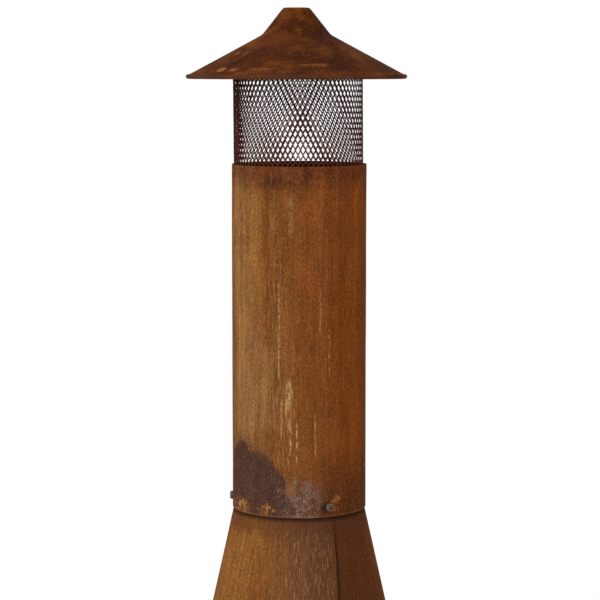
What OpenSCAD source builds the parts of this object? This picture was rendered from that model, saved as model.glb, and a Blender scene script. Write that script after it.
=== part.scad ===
// Conical steel chiminea with a mesh fire door, a round flue and a lift-off rain cap.
// Millimetres, +Z up. The origin is on the ground under the flue's axis and the fire mouth faces -Y.
// An azimuth is measured from -Y towards +X. Heights are above the ground.

/* [Flue] */
// Outer diameter of the flue pipe
flue_d = 150; // [130:1:170]
// Length of the flue pipe
flue_len = 386; // [250:1:500]
// Sheet thickness of the flue pipe
flue_t = 1.2; // [0.8:0.1:2]
// Height of the flue screws above the pipe's lower edge
screw_rise = 11; // [8:1:25]

/* [Cone body] */
// Outer diameter of the cone at its lower edge
base_d = 480; // [440:1:520]
// Ground clearance under the cone
skirt_z = 60; // [40:1:80]
// Height of the flue's lower edge above the ground
flue_z = 800; // [760:1:900]
// Sheet thickness of the cone
body_t = 2; // [1.5:0.1:3]
// Azimuth of the cone's lap seam
seam_azimuth = 60; // [56:1:120]
// Height of the neck collar that holds the flue
collar_h = 40; // [25:1:60]

/* [Fire mouth and door] */
// Half of the mouth's width, as an azimuth
mouth_half = 38; // [34:0.5:40]
// Height of the mouth's sill
mouth_z0 = 195; // [185:1:205]
// Height of the mouth's top edge
mouth_z1 = 500; // [495:1:540]
// Height of the lower hinge
hinge_low_z = 255; // [245:1:270]
// Height of the upper hinge
hinge_high_z = 440; // [410:1:450]
// Height of the middle of the door handle
handle_z = 365; // [350:1:380]
// Height of the turn latch
latch_z = 262; // [255:1:280]

/* [Rain cap and spark guard] */
// Diameter over the cap's rolled rim
cap_d = 245.2; // [220:0.2:270]
// Height of the rim's centre above the flue's top edge
cap_rise = 96.6; // [80:0.1:110]
// Slope of the cap's skirt from the horizontal
cap_pitch = 28.3; // [24:0.1:32]
// Diameter where the steep crown meets the skirt
crown_base_d = 76; // [70:1:90]
// Diameter of the crown's flat top
crown_top_d = 29; // [20:1:40]
// Height of the crown
crown_h = 29.7; // [20:0.1:40]
// Sheet thickness of the cap
cap_t = 1.2; // [0.8:0.1:2]
// Diameter of the cap's rolled rim
bead_d = 5.2; // [4:0.1:7]
// Width of one diamond of the expanded metal
diamond_w = 9; // [8:0.5:12]
// Height of one diamond of the expanded metal
diamond_h = 19; // [16:0.5:24]

/* [Fire grate] */
// Side of the grate's square bars
grate_bar = 10; // [8:1:12]
// Spacing of the grate's bars
grate_pitch = 30; // [25:1:36]
// Radius of the grate
grate_r = 188; // [180:1:190]

/* [Hidden] */
$fn = 120;

// Colours
rust = "#8a5426";
dark_rust = "#5c3620";
bare_steel = "#8d8378";
mesh_rust = "#4a2a20";

// Cone: its outer surface is straight from the skirt to just inside the flue
flue_r = flue_d / 2;
flue_bore_r = flue_r - flue_t;
neck_r = flue_bore_r - 0.1;
base_r = base_d / 2;
cone_slope = (base_r - neck_r) / (flue_z - skirt_z);
lean = atan(cone_slope);
cone_top_z = flue_z + 1.5;
flue_top_z = flue_z + flue_len;
weld_gap = 0.05;

// Neck collar, butt-welded on the cone's top edge
collar_t = 1.5;
collar_r = flue_bore_r - 0.5;
collar_z = cone_top_z + weld_gap;

// Flue screws: M5 pan heads at three azimuths
screw_azimuths = [-63.5, 56.5, 176.5];
screw_z = flue_z + screw_rise;
screw_r = 2.45;
screw_hole_r = 2.7;
pan_head_r = 4.6;
pan_head_h = 3.2;

// Feet and their M6 bolts
foot_azimuths = [180, -60, 60];
foot_w = 40;
foot_t = 4;
foot_pad = 45;
foot_top_z = 115;
foot_bolt_z = 75;
foot_bolt_dx = 12;
foot_gap = 0.9;
band_h = 30;
band_t = 3;
m6_r = 3;
m6_hole_r = 3.3;
m6_head_r = 6;
m6_head_h = 3.5;
m6_nut_h = 5;

// Floor pan and grate
pan_z = 150;
pan_t = 2;
pan_r = 205;
pan_rim_r = 212.2;
pan_rim_z = 170;
drain_r = 5;
grate_leg_h = 22;
grate_leg_w = 12;
cross_bar_y = 90;
cross_bar_len = 320;
grate_leg_x = 130;

// Mouth trim and door: offsets are measured outwards from the cone's surface
trim_t = 3;
trim_deg = 3;
trim_grow = 9;
door_gap = 4;
door_t = 3;
door_deg = 4;
door_grow = 12;
corner_top_r = 34;
corner_low_r = 14;
mesh_t = 1;
mesh_deg = -1;
mesh_grow = -3;
mesh_offset = 3.8;
mesh_facets = 6;
rivet_head_r = 3.4;
rivet_hole_r = 1.65;
rivet_tail_r = 2.6;

// Hinges: lift-off barrels on one straight axis beside the door's left edge
hinge_azimuth = -(mouth_half + door_deg + 3);
hinge_offset = 8;
barrel_r = 5.5;
barrel_h = 16;
barrel_bore_r = 3;
pin_r = 2.95;
leaf_t = 2;

// Handle and latch
handle_azimuth = mouth_half;
handle_half = 50;
handle_reach = 38;
handle_r = 4;
coil_r = 9.5;
coil_half = 38;
latch_offset = 9.1;
latch_t = 3;
latch_w = 14;
latch_half = 28;
latch_azimuth = mouth_half + door_deg + 4.5;
latch_post_r = 6;

// Cap: the skirt's lines meet the rim bead this far from its centre, so the bead stands proud
bead_r = bead_d / 2;
skirt_off = bead_r - 1;
bead_start = 90 - cap_pitch + acos(skirt_off / bead_r);
bead_end = 90 - cap_pitch + acos((skirt_off - cap_t) / bead_r) - 360;
rim_z = flue_top_z + cap_rise;
rim_r = cap_d / 2 - bead_r;
skirt_end = [rim_r, rim_z] + skirt_off * [sin(cap_pitch), cos(cap_pitch)];
crown_r = crown_base_d / 2;
crown_z = skirt_end[1] + (skirt_end[0] - crown_r) * tan(cap_pitch);
cap_top_z = crown_z + crown_h;
crown_run = (crown_r - crown_top_d / 2) / crown_h;

// Spark guard: flat panels round the inside of the flue
guard_panels = 20;
guard_r = flue_bore_r - 3.4;
guard_sink = 36;
guard_z = flue_top_z - guard_sink + 0.3;
guard_top_z = crown_z - (guard_r + 2 - crown_r) * tan(cap_pitch) - 3;
hoop_t = 1.5;
hoop_r = guard_r - 0.1;

function cone_r(z) = neck_r + (flue_z - z) * cone_slope;

// Points of an arc about c from angle a0 to a1
function arc(c, r, a0, a1, n = 6) =
    [for (i = [0:n]) let (a = a0 + (a1 - a0) * i / n) c + r * [cos(a), sin(a)]];

// Right half of the mouth's front outline: its sides lie on the cone's straight lines
function mouth_side(deg, grow, r_low, r_top) =
    let (
        s = sin(mouth_half + deg),
        tilt = atan(cone_slope * s),
        low_z = mouth_z0 - grow + r_low,
        top_z = mouth_z1 + grow - r_top
    )
    concat(
        arc([cone_r(low_z) * s - r_low / cos(tilt), low_z], r_low, -90, tilt),
        arc([cone_r(top_z) * s - r_top / cos(tilt), top_z], r_top, tilt, 90)
    );

function mirrored(points) = [for (i = [len(points) - 1:-1:0]) [-points[i][0], points[i][1]]];

// Outline of the mouth in the XZ plane, grown sideways by an azimuth and up and down by a length
module mouth_outline(deg = 0, grow = 0) {
    half = mouth_side(deg, grow, corner_low_r + grow / 2, corner_top_r + grow / 2);
    polygon(concat(half, mirrored(half)));
}

// Extrudes an XZ outline through the front of the cone
module front_prism() {
    rotate([90, 0, 0]) linear_extrude(height = base_r + 20) children();
}

// Conical shell between two heights, from one offset outwards to another
module cone_band(z0, z1, offset0, thick) {
    rotate_extrude() cone_section(z0, z1, offset0, thick);
}

module cone_section(z0, z1, offset0, thick) {
    in = offset0 / cos(lean);
    out = (offset0 + thick) / cos(lean);
    polygon([
        [cone_r(z0) + in, z0],
        [cone_r(z0) + out, z0],
        [cone_r(z1) + out, z1],
        [cone_r(z1) + in, z1]
    ]);
}

// The same shell between two azimuths
module cone_sector(z0, z1, offset0, thick, a0, a1) {
    rotate([0, 0, a0 - 90]) rotate_extrude(angle = a1 - a0) cone_section(z0, z1, offset0, thick);
}

// Local frame on the cone: -Y points out of the surface and +Z runs up a straight line of the cone
module on_cone(azimuth, z) {
    rotate([0, 0, azimuth]) translate([0, -cone_r(z), z]) rotate([-lean, 0, 0]) children();
}

// Cylinder that stands out of the surface in that frame, from one offset to another
module stud(r, from, to) {
    translate([0, -from, 0]) rotate([90, 0, 0]) cylinder(r = r, h = to - from);
}

// Plate drawn as [radius, height] in the plane of an azimuth, and extruded sideways
module radial_plate(azimuth, width) {
    rotate([0, 0, azimuth]) rotate([90, 0, -90]) linear_extrude(height = width, center = true) children();
}

// Pan-head screw along +Z, its head's underside at the origin, with a cross recess
module pan_screw(head_r, head_h, shank_r, shank_len) {
    recess = head_r * 1.1;
    difference() {
        union() {
            rotate_extrude() polygon(concat(
                [[0, 0], [head_r, 0]],
                arc([head_r - head_h / 2, head_h / 2], head_h / 2, 0, 90),
                [[0, head_h]]
            ));
            translate([0, 0, -shank_len]) cylinder(r = shank_r, h = shank_len + 0.2);
        }
        for (a = [0, 90]) rotate([0, 0, a])
            translate([-recess / 2, -0.5, head_h - 1.4]) cube([recess, 1, 2]);
    }
}

module hex_nut(across_flats, bore_r, h) {
    difference() {
        cylinder(r = across_flats / 2 / cos(30), h = h, $fn = 6);
        translate([0, 0, -1]) cylinder(r = bore_r, h = h + 2, $fn = 60);
    }
}

// Places of the foot bolts, with -Y out of the surface
module at_foot_bolts() {
    for (a = foot_azimuths, x = [-foot_bolt_dx, foot_bolt_dx])
        on_cone(a, foot_bolt_z) translate([x, 0, 0]) children();
}

// Places of the flue screws, with +Z pointing out from the flue's outer wall
module at_flue_screws() {
    for (a = screw_azimuths)
        rotate([0, 0, a]) translate([0, -flue_r, screw_z]) rotate([90, 0, 0]) children();
}

// ---- Body ----

module body_cone() {
    seam_half = 3;
    color(rust) difference() {
        union() {
            cone_band(skirt_z, cone_top_z, -body_t, body_t);
            cone_sector(
                skirt_z + band_h + 1, flue_z - 14, -0.5, 2, seam_azimuth - seam_half, seam_azimuth + seam_half
            );
        }
        front_prism() mouth_outline();
        at_foot_bolts() stud(m6_hole_r, -10, 10);
    }
}

module neck_collar() {
    color(rust) difference() {
        translate([0, 0, collar_z]) cylinder(r = collar_r, h = collar_h);
        translate([0, 0, collar_z - 1]) cylinder(r = collar_r - collar_t, h = collar_h + 2);
        at_flue_screws() translate([0, 0, -10]) cylinder(r = screw_hole_r, h = 15, $fn = 60);
    }
}

module base_band() {
    color(dark_rust) difference() {
        cone_band(skirt_z, skirt_z + band_h, weld_gap, band_t);
        at_foot_bolts() stud(m6_hole_r, -10, 10);
    }
}

module mouth_trim() {
    color(dark_rust) intersection() {
        cone_band(mouth_z0 - 20, mouth_z1 + 20, weld_gap, trim_t);
        front_prism() difference() {
            mouth_outline(trim_deg, trim_grow);
            mouth_outline();
        }
    }
}

module floor_pan() {
    color(dark_rust) difference() {
        rotate_extrude() polygon([
            [0, pan_z],
            [pan_r, pan_z],
            [pan_rim_r, pan_rim_z],
            [pan_rim_r - pan_t, pan_rim_z],
            [pan_r - pan_t + 0.7, pan_z + pan_t],
            [0, pan_z + pan_t]
        ]);
        translate([0, 0, pan_z - 1]) cylinder(r = drain_r, h = pan_t + 2, $fn = 60);
        for (a = [45:90:315]) rotate([0, 0, a])
            translate([0, -pan_r * 0.55, pan_z - 1]) cylinder(r = drain_r, h = pan_t + 2, $fn = 60);
    }
}

module pan_lugs() {
    lug_t = 4;
    lug_half = 5;
    z1 = pan_z - weld_gap;
    wall = (body_t + weld_gap) / cos(lean);
    color(dark_rust) for (a = [0, 120, 240])
        rotate([0, 0, a - 90 - lug_half]) rotate_extrude(angle = 2 * lug_half) polygon([
            [pan_r - 10, z1 - lug_t],
            [cone_r(z1 - lug_t) - wall, z1 - lug_t],
            [cone_r(z1) - wall, z1],
            [pan_r - 10, z1]
        ]);
}

// ---- Grate ----

cross_bar_z = pan_z + pan_t + grate_leg_h;
grate_z = cross_bar_z + grate_bar;

module grate_bars() {
    n = floor(grate_r * 0.82 / grate_pitch);
    color(mesh_rust) for (i = [-n:n]) let (
        x = i * grate_pitch,
        y = sqrt(grate_r * grate_r - x * x)
    ) translate([x - grate_bar / 2, -y, grate_z]) cube([grate_bar, 2 * y, grate_bar]);
}

module grate_cross_bars() {
    color(mesh_rust) for (y = [-cross_bar_y, cross_bar_y])
        translate([-cross_bar_len / 2, y - grate_bar / 2, cross_bar_z])
            cube([cross_bar_len, grate_bar, grate_bar]);
}

module grate_legs() {
    color(mesh_rust) for (x = [-grate_leg_x, grate_leg_x], y = [-cross_bar_y, cross_bar_y])
        translate([x - grate_leg_w / 2, y - grate_leg_w / 2, pan_z + pan_t])
            cube([grate_leg_w, grate_leg_w, grate_leg_h]);
}

// ---- Feet ----

// Bent flat bar: its upper leaf lies along the cone's inside and its pad turns inwards on the ground
module foot(azimuth) {
    in = body_t / cos(lean) + foot_gap;
    knee_z = skirt_z + 2;
    knee_r = cone_r(knee_z) - in;
    top_r = cone_r(foot_top_z) - in;
    leaf = foot_t / cos(lean);
    color(dark_rust) difference() {
        radial_plate(azimuth, foot_w) polygon([
            [top_r, foot_top_z],
            [top_r - leaf, foot_top_z],
            [knee_r - foot_t, knee_z],
            [knee_r - foot_t, foot_t],
            [knee_r - foot_pad, foot_t],
            [knee_r - foot_pad, 0],
            [knee_r, 0],
            [knee_r, knee_z]
        ]);
        at_foot_bolts() stud(m6_hole_r, -12, 5);
    }
}

module foot_bolts() {
    head = band_t + 2 * weld_gap;
    color(bare_steel) at_foot_bolts() translate([0, -head, 0]) rotate([90, 0, 0])
        pan_screw(m6_head_r, m6_head_h, m6_r, 18);
}

module foot_nuts() {
    depth = body_t + foot_gap + foot_t + 0.1;
    color(bare_steel) at_foot_bolts() translate([0, depth + m6_nut_h, 0]) rotate([90, 0, 0])
        hex_nut(10, m6_r + 0.05, m6_nut_h);
}

// ---- Flue ----

module flue_pipe() {
    color(rust) difference() {
        translate([0, 0, flue_z]) cylinder(r = flue_r, h = flue_len);
        translate([0, 0, flue_z - 1]) cylinder(r = flue_bore_r, h = flue_len + 2);
        at_flue_screws() translate([0, 0, -10]) cylinder(r = screw_hole_r, h = 15, $fn = 60);
    }
}

module flue_screws() {
    color(bare_steel) at_flue_screws() translate([0, 0, 0.1])
        pan_screw(pan_head_r, pan_head_h, screw_r, 9);
}

module flue_nuts() {
    nut_h = 4;
    depth = flue_r - (collar_r - collar_t) + 0.25;
    color(bare_steel) at_flue_screws() translate([0, 0, -depth - nut_h])
        hex_nut(8, screw_r + 0.05, nut_h);
}

// Three lugs inside the flue that the spark guard stands on
module flue_stops() {
    lug_h = 4;
    lug_half = 6;
    color(dark_rust) for (a = [0, 120, 240])
        rotate([0, 0, a - 90 - lug_half]) rotate_extrude(angle = 2 * lug_half)
            translate([guard_r - 1.5, flue_top_z - guard_sink - lug_h])
                square([flue_bore_r - weld_gap - guard_r + 1.5, lug_h]);
}

// ---- Hinges ----

// Body half of a hinge: a leaf on the cone, a web and the lower barrel
module hinge_bracket(z) {
    color(dark_rust) difference() {
        union() {
            cone_sector(z - barrel_h, z - 1, weld_gap, leaf_t, hinge_azimuth - 10, hinge_azimuth + 0.8);
            on_cone(hinge_azimuth, z) {
                translate([0, -hinge_offset, -barrel_h]) cylinder(r = barrel_r, h = barrel_h - 0.25);
                translate([-3, -hinge_offset, -barrel_h + 0.5]) cube([6, hinge_offset - 0.6, barrel_h - 1.5]);
            }
        }
        on_cone(hinge_azimuth, z) translate([0, -hinge_offset, -barrel_h - 1])
            cylinder(r = barrel_bore_r, h = barrel_h + 2);
    }
}

// Door half of a hinge: the upper barrel and a leaf on the door frame
module door_knuckle(z) {
    leaf_offset = door_gap + door_t + weld_gap;
    color(dark_rust) difference() {
        union() {
            cone_sector(z + 1, z + barrel_h - 1, leaf_offset, leaf_t, hinge_azimuth, hinge_azimuth + 7);
            on_cone(hinge_azimuth, z) translate([0, -hinge_offset, 0.25])
                cylinder(r = barrel_r, h = barrel_h - 0.25);
        }
        on_cone(hinge_azimuth, z) translate([0, -hinge_offset, -1])
            cylinder(r = barrel_bore_r, h = barrel_h + 2);
    }
}

module hinge_pins() {
    color(bare_steel) for (z = [hinge_low_z, hinge_high_z])
        on_cone(hinge_azimuth, z) translate([0, -hinge_offset, -barrel_h]) {
            cylinder(r = pin_r, h = 2 * barrel_h + 1);
            translate([0, 0, 2 * barrel_h + 1]) cylinder(r1 = pin_r, r2 = pin_r - 1, h = 1.5);
        }
}

// ---- Door ----

// Azimuths and heights of the rivets that hold the mesh by its edge behind the door frame
rivet_places = concat(
    [for (z = [mouth_z0 + 30, handle_z - 25, handle_z + 25, mouth_z1 - 25], s = [-1, 1])
        [s * (mouth_half - 2), z]],
    [for (a = [-18, -6, 6, 18]) [a, mouth_z0 + 5.6]],
    [for (a = [-18, 18]) [a, mouth_z1 - 5.6]]
);

module door_frame() {
    color(dark_rust) difference() {
        intersection() {
            cone_band(mouth_z0 - 20, mouth_z1 + 20, door_gap, door_t);
            front_prism() difference() {
                mouth_outline(door_deg, door_grow);
                mouth_outline(-door_deg, -door_grow);
            }
        }
        for (p = rivet_places) on_cone(p[0], p[1]) stud(rivet_hole_r, 0, 12);
    }
}

module door_rivets() {
    face = door_gap + door_t + 0.1;
    tail = face - 0.5;
    color(dark_rust) for (p = rivet_places) on_cone(p[0], p[1]) translate([0, -face, 0]) rotate([90, 0, 0]) {
        rotate_extrude($fn = 48) polygon(concat(
            [[0, 0]],
            [for (a = [0:15:90]) [rivet_head_r * cos(a), 2 * sin(a)]]
        ));
        translate([0, 0, -tail]) cylinder(r = rivet_hole_r - 0.05, h = tail + 0.1, $fn = 48);
        translate([0, 0, -tail]) cylinder(r = rivet_tail_r, h = 0.9, $fn = 48);
    }
}

// Expanded metal: a sheet outline less its rows of diamonds, with a plain margin round the edge
module expanded_metal(x_half0, x_half1, height, margin) {
    w = max(x_half0, x_half1);
    columns = ceil(w / diamond_w);
    rows = ceil(height / diamond_h);
    strand = 1.3;
    hole = [diamond_w / 2 - strand, diamond_h / 2 - strand * 1.6];
    difference() {
        polygon([[-x_half0, 0], [x_half0, 0], [x_half1, height], [-x_half1, height]]);
        intersection() {
            polygon([
                [margin - x_half0, margin], [x_half0 - margin, margin],
                [x_half1 - margin, height - margin], [margin - x_half1, height - margin]
            ]);
            for (row = [0:2 * rows], column = [-columns:columns])
                translate([(column + (row % 2) / 2) * diamond_w, row * diamond_h / 2])
                    polygon([[hole[0], 0], [0, hole[1]], [-hole[0], 0], [0, -hole[1]]]);
        }
    }
}

// The door's mesh: flat facets that follow the cone behind the frame
module door_mesh() {
    z0 = mouth_z0 - mesh_grow;
    z1 = mouth_z1 + mesh_grow;
    step = 2 * (mouth_half + mesh_deg) / mesh_facets;
    half0 = (cone_r(z0) + mesh_offset) * sin(step / 2) - 0.3;
    half1 = (cone_r(z1) + mesh_offset) * sin(step / 2) - 0.3;
    sagitta = cone_r(z0) * (1 - cos(step / 2));
    color(mesh_rust) difference() {
        intersection() {
            for (i = [0:mesh_facets - 1])
                on_cone(-mouth_half - mesh_deg + (i + 0.5) * step, z0)
                    translate([0, -mesh_offset + sagitta + mesh_t, 0]) rotate([90, 0, 0])
                        linear_extrude(height = mesh_t) expanded_metal(half0, half1, (z1 - z0) / cos(lean), 2);
            front_prism() mouth_outline(mesh_deg, mesh_grow);
        }
        for (p = rivet_places) on_cone(p[0], p[1]) stud(rivet_hole_r, 0, 6);
    }
}

// U-shaped rod welded to the door frame, with a round rose at each foot
module door_handle() {
    face = door_gap + door_t + 0.1;
    color(dark_rust) on_cone(handle_azimuth, handle_z) {
        for (z = [-handle_half, handle_half]) translate([0, 0, z]) {
            stud(9, face, face + 3);
            stud(handle_r, face + 2, handle_reach);
            translate([0, -handle_reach, 0]) sphere(r = handle_r);
        }
        translate([0, -handle_reach, -handle_half]) cylinder(r = handle_r, h = 2 * handle_half);
    }
}

// Outer shape of the wire coil round the grip
module door_handle_coil() {
    color(bare_steel) on_cone(handle_azimuth, handle_z) translate([0, -handle_reach, -coil_half]) difference() {
        cylinder(r = coil_r, h = 2 * coil_half);
        translate([0, 0, -1]) cylinder(r = handle_r + 0.3, h = 2 * coil_half + 2);
    }
}

// ---- Turn latch ----

module latch_post() {
    color(dark_rust) on_cone(latch_azimuth, latch_z) difference() {
        stud(latch_post_r, 0.15, latch_offset - 0.3);
        stud(screw_r + 0.1, -1, latch_offset + 1);
    }
}

module latch_screw() {
    color(bare_steel) on_cone(latch_azimuth, latch_z)
        translate([0, -latch_offset - latch_t - 0.2, 0]) rotate([90, 0, 0])
            pan_screw(pan_head_r, pan_head_h, screw_r, latch_offset + latch_t - 0.4);
}

// Oblong button that turns across the door's edge
module latch_button() {
    straight = latch_half - latch_w / 2;
    color(dark_rust) on_cone(latch_azimuth, latch_z) difference() {
        union() {
            for (z = [-straight, straight]) translate([0, 0, z])
                stud(latch_w / 2, latch_offset, latch_offset + latch_t);
            translate([-latch_w / 2, -latch_offset - latch_t, -straight])
                cube([latch_w, latch_t, 2 * straight]);
        }
        stud(screw_r + 0.05, latch_offset - 1, latch_offset + latch_t + 1);
    }
}

// ---- Rain cap and spark guard ----

module rain_cap() {
    crown_in = cap_t / cos(atan(crown_run));
    skirt_in = cap_t / sin(cap_pitch);
    skirt_run = 1 / tan(cap_pitch);
    drop = (skirt_in - crown_in) / (skirt_run - crown_run);
    color(dark_rust) rotate_extrude() polygon(concat(
        [[0, cap_top_z], [crown_top_d / 2, cap_top_z], [crown_r, crown_z]],
        arc([rim_r, rim_z], bead_r, bead_start, bead_end, 28),
        [
            [crown_r + drop * skirt_run - skirt_in, crown_z - drop],
            [crown_top_d / 2 + cap_t * crown_run - crown_in, cap_top_z - cap_t],
            [0, cap_top_z - cap_t]
        ]
    ));
}

// Height of the skirt's underside at a radius
function under_skirt(r) = crown_z - (r - crown_r) * tan(cap_pitch) - cap_t / cos(cap_pitch);

// Three bent straps that hold the guard's top hoop under the cap
module cap_brackets() {
    strap_w = 15;
    strap_t = 1.7;
    gap = 0.7;
    leaf_r = sqrt(pow(hoop_r - hoop_t, 2) - pow(strap_w / 2, 2)) - 0.1;
    tip_r = 50;
    color(dark_rust) for (a = [60, 180, 300]) radial_plate(a, strap_w) polygon([
        [leaf_r, guard_top_z - 18],
        [leaf_r, under_skirt(leaf_r) - gap],
        [tip_r, under_skirt(tip_r) - gap],
        [tip_r, under_skirt(tip_r) - gap - strap_t],
        [leaf_r - strap_t, under_skirt(leaf_r - strap_t) - gap - strap_t],
        [leaf_r - strap_t, guard_top_z - 18]
    ]);
}

module spark_guard() {
    half = guard_r * tan(180 / guard_panels) - weld_gap;
    color(mesh_rust) for (i = [0:guard_panels - 1]) rotate([0, 0, i * 360 / guard_panels])
        translate([0, -guard_r, guard_z]) rotate([90, 0, 0]) linear_extrude(height = mesh_t)
            expanded_metal(half, half, guard_top_z - guard_z, 1);
}

module guard_hoop(z, h) {
    color(dark_rust) translate([0, 0, z]) difference() {
        cylinder(r = hoop_r, h = h);
        translate([0, 0, -1]) cylinder(r = hoop_r - hoop_t, h = h + 2);
    }
}

body_cone();
neck_collar();
base_band();
mouth_trim();
floor_pan();
pan_lugs();
grate_bars();
grate_cross_bars();
grate_legs();
foot(foot_azimuths[0]);  // foot_rear
foot(foot_azimuths[1]);  // foot_left
foot(foot_azimuths[2]);  // foot_right
foot_bolts();
foot_nuts();
flue_pipe();
flue_screws();
flue_nuts();
flue_stops();
hinge_bracket(hinge_high_z);  // hinge_bracket_upper
hinge_bracket(hinge_low_z);  // hinge_bracket_lower
hinge_pins();
latch_post();
latch_screw();
latch_button();
door_frame();
door_mesh();
door_rivets();
door_knuckle(hinge_high_z);  // door_knuckle_upper
door_knuckle(hinge_low_z);  // door_knuckle_lower
door_handle();
door_handle_coil();
rain_cap();
cap_brackets();
spark_guard();
guard_hoop(guard_top_z - 16, 12);  // guard_hoop_top
guard_hoop(guard_z, 10);  // guard_hoop_bottom
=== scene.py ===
"""Visual model of the chiminea: rusted sheet-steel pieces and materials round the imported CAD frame.

Metres, +Z up. An azimuth is measured from the front, -Y, towards +X.
"""
import math
import bmesh
import bpy
import numpy as np
from mathutils import Matrix, Vector, noise


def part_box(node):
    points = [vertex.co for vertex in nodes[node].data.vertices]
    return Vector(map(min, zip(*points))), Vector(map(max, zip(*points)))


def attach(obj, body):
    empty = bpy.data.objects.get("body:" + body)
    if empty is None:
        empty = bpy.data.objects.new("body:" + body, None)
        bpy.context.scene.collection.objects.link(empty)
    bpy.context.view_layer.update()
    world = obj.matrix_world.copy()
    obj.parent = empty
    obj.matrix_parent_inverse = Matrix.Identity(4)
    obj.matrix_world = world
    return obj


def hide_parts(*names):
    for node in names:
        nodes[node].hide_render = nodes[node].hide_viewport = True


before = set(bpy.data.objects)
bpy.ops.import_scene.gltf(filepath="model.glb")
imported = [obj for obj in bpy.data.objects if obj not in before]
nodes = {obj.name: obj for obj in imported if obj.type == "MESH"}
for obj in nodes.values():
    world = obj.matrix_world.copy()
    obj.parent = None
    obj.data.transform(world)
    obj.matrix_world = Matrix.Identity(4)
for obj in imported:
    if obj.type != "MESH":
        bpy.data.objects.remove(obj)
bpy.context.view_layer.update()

MM = 0.001

# ---- Sizes, in metres, as in the CAD model ----

FLUE_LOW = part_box("flue_pipe")[0].z
FLUE_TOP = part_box("flue_pipe")[1].z
FLUE_R = 75 * MM
SHEET = 1.2 * MM
SKIRT_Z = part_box("body_cone")[0].z
CONE_TOP_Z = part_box("body_cone")[1].z
BASE_R = 240 * MM
CONE_SHEET = 2 * MM
NECK_R = 73.7 * MM
CONE_SLOPE = (BASE_R - NECK_R) / (FLUE_LOW - SKIRT_Z)
LEAN = math.atan(CONE_SLOPE)
MOUTH_HALF = math.radians(38)
MOUTH_Z = (195 * MM, 500 * MM)
MOUTH_CORNERS = (14 * MM, 34 * MM)
RIM_Z = FLUE_TOP + 96.6 * MM
RIM_R = 120 * MM
BEAD_R = 2.6 * MM
HINGE_Z = (255 * MM, 440 * MM)
LATCH_Z = 262 * MM
CAP_TOP_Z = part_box("rain_cap")[1].z
GUARD_R = 70.6 * MM
GUARD_Z = (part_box("spark_guard")[0].z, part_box("spark_guard")[1].z)

# Not in the CAD model: the lap seams, and the radius where the cone's streaks are as wide as given
SEAM_BASE = math.radians(43.5)
SEAM_SKEW = 21.6 * MM
FLUE_SEAM = math.radians(150)
FLOW_R = 130 * MM


def cone_r(z):
    return NECK_R + (FLUE_LOW - z) * CONE_SLOPE


# ---- Camera, floor and light ----

VIEW_AZIMUTH = math.radians(30)
CAMERA_DISTANCE = 2.481
CAMERA_SIDESTEP = 0.0010
CAMERA_Z = 1.2963
CAMERA_PITCH = math.radians(6.05)
CAMERA_LENS = 133.6
CAMERA_SENSOR = 36
CLIP_NEAR = 0.05
CLIP_FAR = 60
AIM_Z = 0.9
AMBIENT = 0.62
FLOOR_R = 2.3
FLOOR_FADE = 0.3
FLOOR_GREY = (0.86, 0.86, 0.85, 1)


def add_camera():
    data = bpy.data.cameras.new("camera")
    data.sensor_width = CAMERA_SENSOR
    data.lens = CAMERA_LENS
    data.clip_start = CLIP_NEAR
    data.clip_end = CLIP_FAR
    camera = bpy.data.objects.new("camera", data)
    bpy.context.scene.collection.objects.link(camera)
    out = Vector((math.sin(VIEW_AZIMUTH), -math.cos(VIEW_AZIMUTH), 0))
    right = Vector((math.cos(VIEW_AZIMUTH), math.sin(VIEW_AZIMUTH), 0))
    camera.location = out * CAMERA_DISTANCE + right * CAMERA_SIDESTEP + Vector((0, 0, CAMERA_Z))
    look = -out * math.cos(CAMERA_PITCH) - Vector((0, 0, math.sin(CAMERA_PITCH)))
    camera.rotation_euler = look.to_track_quat("-Z", "Y").to_euler()
    bpy.context.scene.camera = camera


def add_area_light(name, azimuth, distance, height, size, power):
    """A round light aimed at the axis. Its azimuth, in degrees, is measured from the camera's."""
    data = bpy.data.lights.new(name, "AREA")
    data.shape = "DISK"
    data.size = size
    data.energy = power
    light = bpy.data.objects.new(name, data)
    bpy.context.scene.collection.objects.link(light)
    a = VIEW_AZIMUTH + math.radians(azimuth)
    light.location = (math.sin(a) * distance, -math.cos(a) * distance, height)
    aim = Vector((0, 0, AIM_Z)) - light.location
    light.rotation_euler = aim.to_track_quat("-Z", "Y").to_euler()


def add_studio():
    world = bpy.data.worlds.new("studio")
    world.use_nodes = True
    tree = world.node_tree
    background = tree.nodes["Background"]
    background.inputs["Color"].default_value = (1, 1, 1, 1)
    path = tree.nodes.new("ShaderNodeLightPath")
    strength = tree.nodes.new("ShaderNodeMapRange")
    strength.inputs["To Min"].default_value = AMBIENT
    tree.links.new(path.outputs["Is Camera Ray"], strength.inputs["Value"])
    tree.links.new(strength.outputs[0], background.inputs["Strength"])
    bpy.context.scene.world = world
    bpy.context.scene.view_settings.view_transform = "Standard"
    add_area_light("key", azimuth=-42, distance=2.6, height=2.2, size=1.6, power=30)
    add_area_light("fill", azimuth=55, distance=2.8, height=1.4, size=1.8, power=3)

    bm = bmesh.new()
    bmesh.ops.create_circle(bm, cap_ends=True, segments=96, radius=FLOOR_R)
    floor = mesh_object("studio_floor", bm)
    g = Graph("studio_floor")
    g.shader.inputs["Base Color"].default_value = FLOOR_GREY
    g.shader.inputs["Roughness"].default_value = 0.9
    g.shader.inputs["Specular IOR Level"].default_value = 0.0
    clear = g.node("ShaderNodeBsdfTransparent")
    far = g.step(g.radius(), FLOOR_R * FLOOR_FADE, FLOOR_R)
    fade = g.node("ShaderNodeMixShader", {0: far, 1: g.shader.outputs[0], 2: clear.outputs[0]})
    g.tree.links.new(fade.outputs[0], g.tree.nodes["Material Output"].inputs["Surface"])
    floor.data.materials.append(g.material)


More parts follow.
